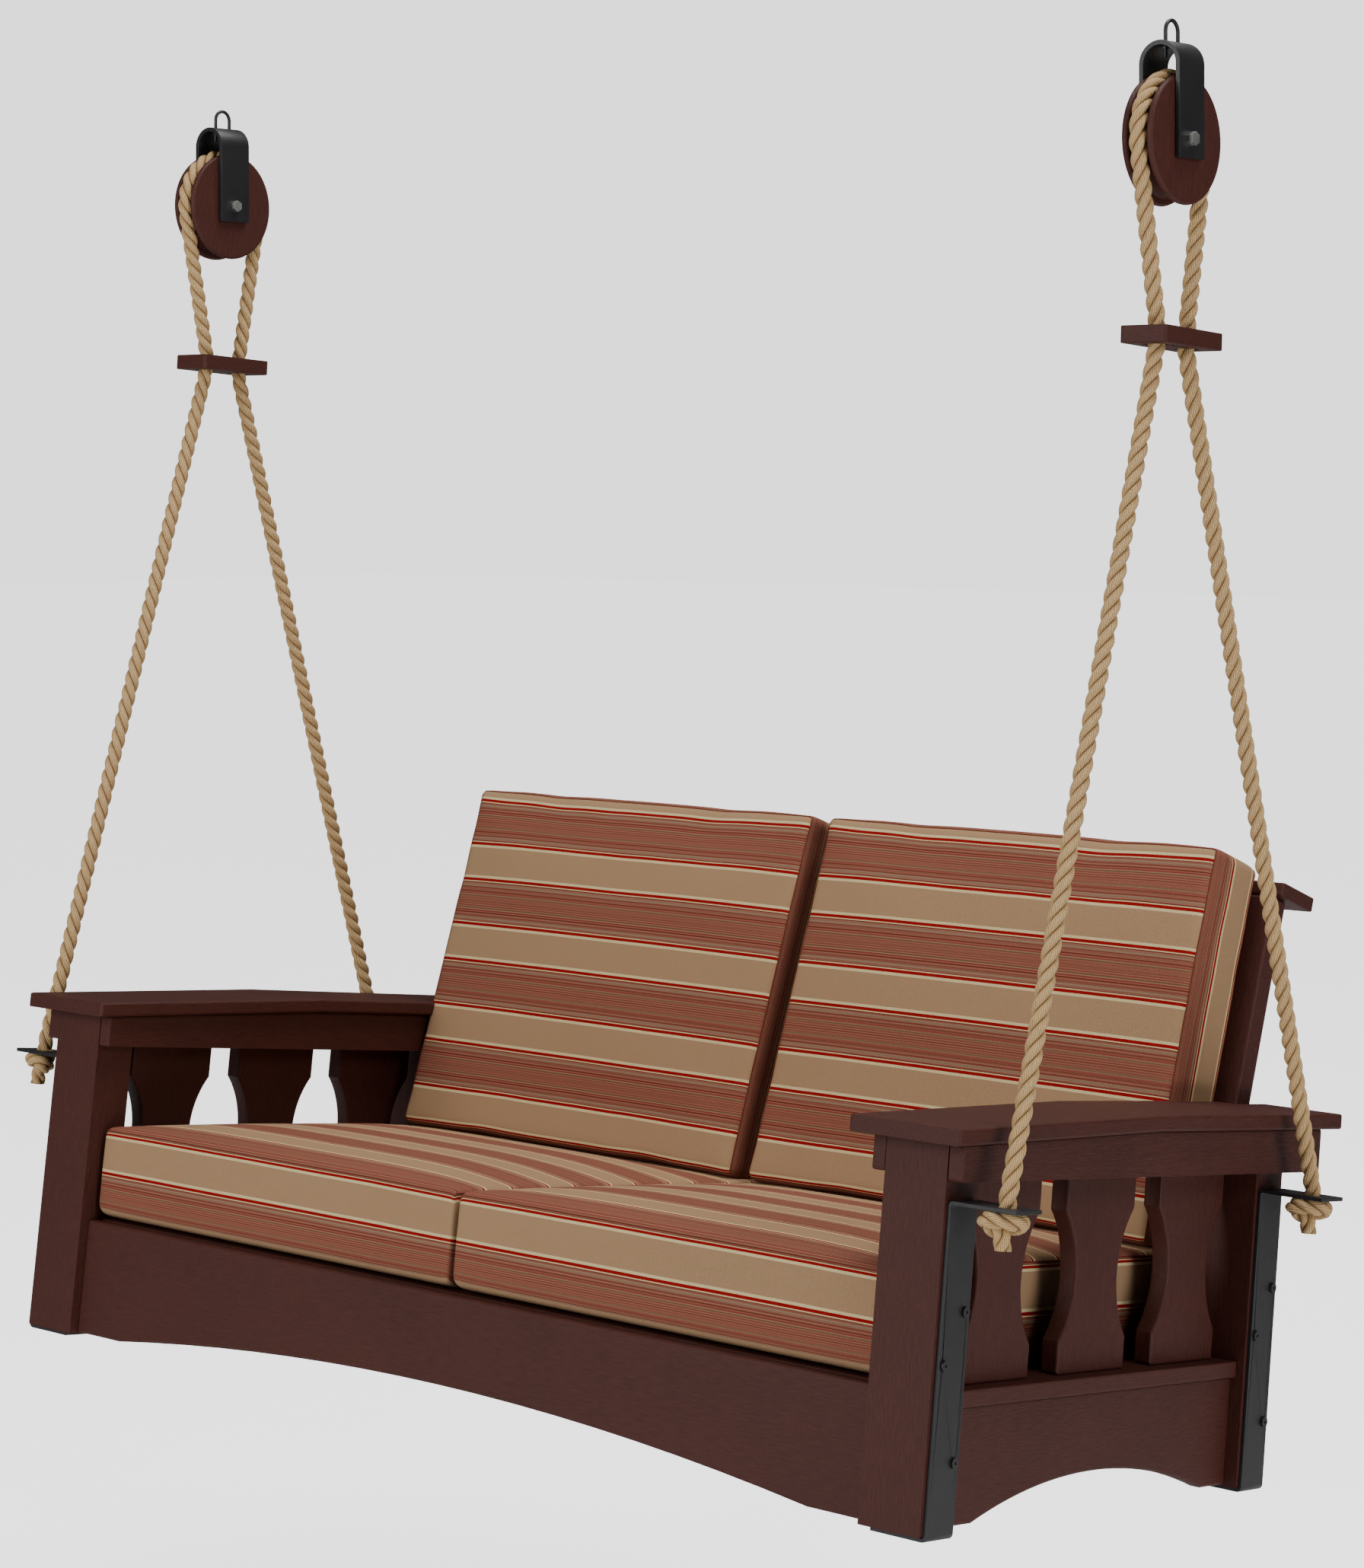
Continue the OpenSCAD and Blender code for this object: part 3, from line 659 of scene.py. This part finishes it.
def tube_mesh(loops, radius, sides=8):
    """Round tubes along closed loops of points."""
    verts = []
    faces = []
    for loop in loops:
        pts = np.array(loop)
        tangents = np.roll(pts, -1, axis=0) - np.roll(pts, 1, axis=0)
        tangents /= np.linalg.norm(tangents, axis=1)[:, None]
        centre = pts.mean(axis=0)
        base = len(verts)
        for p, t in zip(pts, tangents):
            out = p - centre
            out -= t * out.dot(t)
            out /= np.linalg.norm(out)
            other = np.cross(t, out)
            for k in range(sides):
                a = 2 * math.pi * k / sides
                verts.append(p + radius * (math.cos(a) * out + math.sin(a) * other))
        count = len(pts)
        for i in range(count):
            for k in range(sides):
                j = (i + 1) % count
                m = (k + 1) % sides
                ring = base + i * sides
                following = base + j * sides
                faces.append((ring + k, ring + m, following + m, following + k))
    return verts, faces


def edge_loop(points, index, counts, plane, level):
    """Points round a grid box on one plane of its grid, in order."""
    nx, ny, nz = counts
    far = ny if plane == "z" else nz
    square = ([(i, 0) for i in range(nx)] + [(nx, j) for j in range(far)]
              + [(i, far) for i in range(nx, 0, -1)] + [(0, j) for j in range(far, 0, -1)])
    keys = [(i, j, level) if plane == "z" else (i, level, j) for i, j in square]
    return [points[index[key]] for key in keys]


def make_seams(name, loops, body, material):
    verts, faces = tube_mesh(loops, SEAM_R)
    seams = new_object(name, verts, faces, material)
    cloth = seams.data.uv_layers.new(name="cloth")
    cloth.data.foreach_set("uv", np.tile(SEAM_CLOTH, len(seams.data.loops)))
    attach(seams, body)


def make_cushion(kind, side_name, place, box, reach, stripe, shape, swell, seams, material):
    """Cushion sewn from six panels, rounded, blown up, shaped and subdivided, with its seams."""
    name = kind + "_cushion_" + side_name
    body = kind + "_pad_" + side_name
    low, high = box
    grid = [grid_lines(a, b) for a, b in zip(low, high)]
    verts, faces, uvs, index = grid_box(*grid, stripe)
    obj = new_object(name + "_sewn", [rounded(p, low, high, reach) for p in verts], faces, material)
    layer = obj.data.uv_layers.new(name="cloth")
    layer.data.foreach_set("uv", np.array(uvs).ravel())
    blown = inflate(obj, swell)
    world = np.array([tuple(place @ Vector(shape(*p))) for p in blown])
    obj.data.vertices.foreach_set("co", world.ravel())
    obj.data.update()
    smooth = obj.modifiers.new("smooth", "SUBSURF")
    smooth.levels = 1
    smooth.render_levels = 1
    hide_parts(name)
    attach(obj, body)
    counts = [len(line) - 1 for line in grid]
    loops = [edge_loop(world, index, counts, plane, 0 if end == "low" else counts["xyz".index(plane)])
             for plane, end in seams]
    make_seams(name + "_seams", loops, body, material)


def hump(value, low, high):
    """1 in the middle of a stretch and 0 at its ends, steep at the ends and flat between."""
    t = clamp((value - low) / (high - low), 0, 1)
    return 1 - (2 * t - 1) ** 4


def corners(side_name, spans):
    """Low and high corner of one side's cushion, from the spans of the right one."""
    low, high = zip(*spans)
    if SIDES[side_name] > 0:
        return low, high
    return (-high[0], *low[1:]), (-low[0], *high[1:])


def seat_cushion(side_name, material):
    low, high = corners(side_name, (SEAT_X, SEAT_Y, SEAT_Z))

    def stripe(panel, x, y, z):
        if panel == "top":
            return x, EDGE_CLOTH - (y - low[1])
        if panel == "bottom":
            return x, TAN_CLOTH + (y - low[1])
        return (x if panel in ("front", "rear") else y), EDGE_CLOTH + (high[2] - z)

    def shape(x, y, z):
        crown = SEAT_CROWN * hump(x, low[0], high[0]) * hump(y, low[1], SEAT_CROWN_REAR)
        height = clamp((z - low[2]) / (high[2] - low[2]), 0, 1)
        ahead = clamp(1 - (y - low[1]) / ROLL_DEPTH, 0, 1)
        roll = ROLL_HEIGHT * (1 - math.sqrt(1 - ahead ** 2)) * (1 - height) ** 3
        return clamp(x, low[0], high[0]), y, max(z + crown * height, low[2]) + roll

    make_cushion("seat", side_name, SEAT, (low, high), SEAT_ROUND, stripe, shape, SEAT_SWELL,
                 [("z", "high")], material)


def back_cushion(side_name, material):
    low, high = corners(side_name, (BACK_X, BACK_Y, BACK_Z))

    def stripe(panel, x, y, z):
        if panel in ("front", "rear"):
            return x, BACK_CLOTH - (high[2] - z)
        return (z if panel in ("low_x", "high_x") else x), BACK_EDGE_CLOTH + (y - low[1])

    def shape(x, y, z):
        height = (z - low[2]) / (high[2] - low[2])
        slant = INNER_SLANT * (height - SLANT_MIDDLE) * (1 - abs(x) / BACK_X[1])
        domed = hump(x, low[0], high[0]) * hump(y, low[1], high[1])
        crown = BACK_CROWN * domed * clamp(2 * height - 1, 0, 1)
        return x + slant, min(y, BACK_STOP), z + crown

    make_cushion("back", side_name, BACK, (low, high), BACK_ROUND, stripe, shape, BACK_SWELL,
                 [("y", "low"), ("y", "high")], material)


# ---- CAD nodes

GRAIN_X = ("front_apron", "rear_apron", "seat_slats", "lower_back_rail", "upper_back_rail", "cap_rail",
           "spreader")
GRAIN_Y = ("arm", "outer_rail", "inner_rail", "shelf", "side_apron", "seat_cleats")
LEANING = ("back_post", "back_slats", "back_brace", "lower_back_rail", "upper_back_rail", "cap_rail")


def dress_cad_nodes(others):
    boards = {}
    slots = {part["node"]: part["material_slot"] for part in frame["record"]["subparts"]}
    for node, obj in frame["nodes"].items():
        slot = slots[node]
        if slot == "board":
            grain = "x" if node.startswith(GRAIN_X) else "y" if node.startswith(GRAIN_Y) else "z"
            leaning = node.startswith(LEANING)
            key = "board_" + grain + ("_leaning" if leaning else "")
            if key not in boards:
                boards[key] = board_material(key, grain, leaning)
            material = boards[key]
        else:
            material = others[slot]
        obj.data.materials.clear()
        obj.data.materials.append(material)
        if slot in BEVEL:
            weld = obj.modifiers.new("weld", "WELD")
            weld.merge_threshold = 0.00002
            bevel = obj.modifiers.new("bevel", "BEVEL")
            bevel.width = BEVEL[slot]
            bevel.segments = 3
            bevel.limit_method = "ANGLE"
            bevel.angle_limit = math.radians(40)
            bevel.harden_normals = True


# ---- Floor and light

FLOOR_DROP = 0.45
FLOOR_HALF = 40
LIT_POINT = (0, 0, -1.3)


def area_light(name, location, target, size, power):
    data = bpy.data.lights.new(name, "AREA")
    data.shape = "RECTANGLE"
    data.size = size[0]
    data.size_y = size[1]
    data.energy = power
    light = bpy.data.objects.new(name, data)
    light.location = location
    light.rotation_euler = (Vector(target) - Vector(location)).to_track_quat("-Z", "Y").to_euler()
    bpy.context.collection.objects.link(light)


def make_stage():
    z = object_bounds()[0][2] - FLOOR_DROP
    outline = [(x * FLOOR_HALF, y * FLOOR_HALF, z) for x, y in ((-1, -1), (1, -1), (1, 1), (-1, 1))]
    floor = new_object("floor", outline, [(0, 1, 2, 3)], floor_material(), smooth=False)
    make_world()
    area_light("side", (5.2, -0.7, -2.0), LIT_POINT, (2.4, 0.5), 70)
    area_light("front", (-0.8, -5.6, 0.6), LIT_POINT, (3, 3), 230)
    area_light("top", (0.9, 0.9, 3.8), LIT_POINT, (4, 3), 300)
    area_light("pulleys", (4.2, -0.8, 0.9), (ROPE_X, 0, AXLE_Z), (1.2, 1.2), 45)


def make_world():
    """Pale backdrop seen directly, and a dimmer even light on the object."""
    world = bpy.data.worlds.new("studio")
    world.use_nodes = True
    tree = world.node_tree
    rays = tree.nodes.new("ShaderNodeLightPath")
    strength = tree.nodes.new("ShaderNodeMapRange")
    strength.inputs["To Min"].default_value = EVEN_LIGHT
    strength.inputs["To Max"].default_value = BACKDROP
    background = tree.nodes["Background"]
    background.inputs["Color"].default_value = (1, 1, 1, 1)
    tree.links.new(rays.outputs["Is Camera Ray"], strength.inputs["Value"])
    tree.links.new(strength.outputs["Result"], background.inputs["Strength"])
    bpy.context.scene.world = world


# ---- Build

make_camera()
materials = {"black_steel": coated_steel(), "zinc_steel": plated_steel(), "bronze": bronze(),
             "rope": rope_material(), "cushion_fabric": fabric_material()}
dress_cad_nodes(materials)
for side_name in SIDES:
    make_rope(side_name, make_knots(side_name, materials["rope"]), materials["rope"])
for side_name in SIDES:
    seat_cushion(side_name, materials["cushion_fabric"])
    back_cushion(side_name, materials["cushion_fabric"])
make_stage()
